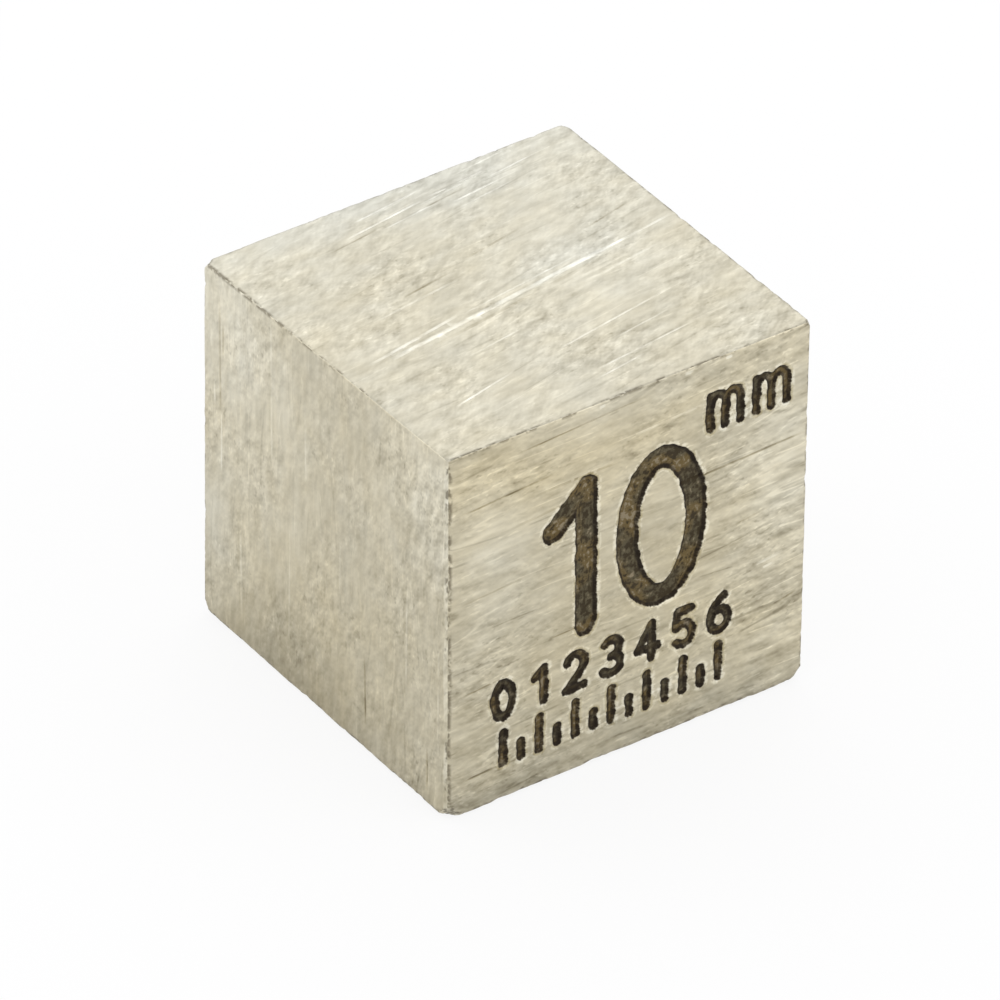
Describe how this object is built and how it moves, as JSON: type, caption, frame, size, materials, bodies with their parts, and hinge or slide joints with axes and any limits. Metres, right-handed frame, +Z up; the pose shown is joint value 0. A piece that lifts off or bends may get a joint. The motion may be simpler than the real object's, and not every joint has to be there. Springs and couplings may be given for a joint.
{
  "type": "bismuth metal cube",
  "caption": "Solid 10 mm cube of pale grey metal with sawn faces, worn edges and an engraved size mark and scale on one side",
  "frame": {"origin": "middle of the box's bottom face, on the surface that the cube stands on", "axes": "+Z is up, and the engraved face looks along -Y with its writing upright; +X is to the right of someone reading it"},
  "size_m": [0.0102, 0.0102, 0.0101],
  "materials": {
    "bismuth": "sawn and filed bismuth, warm grey with a soft shine, dark in the engraving"
  },
  "bodies": {
    "root": {"bismuth_cube": "bismuth"}
  },
  "joints": []
}
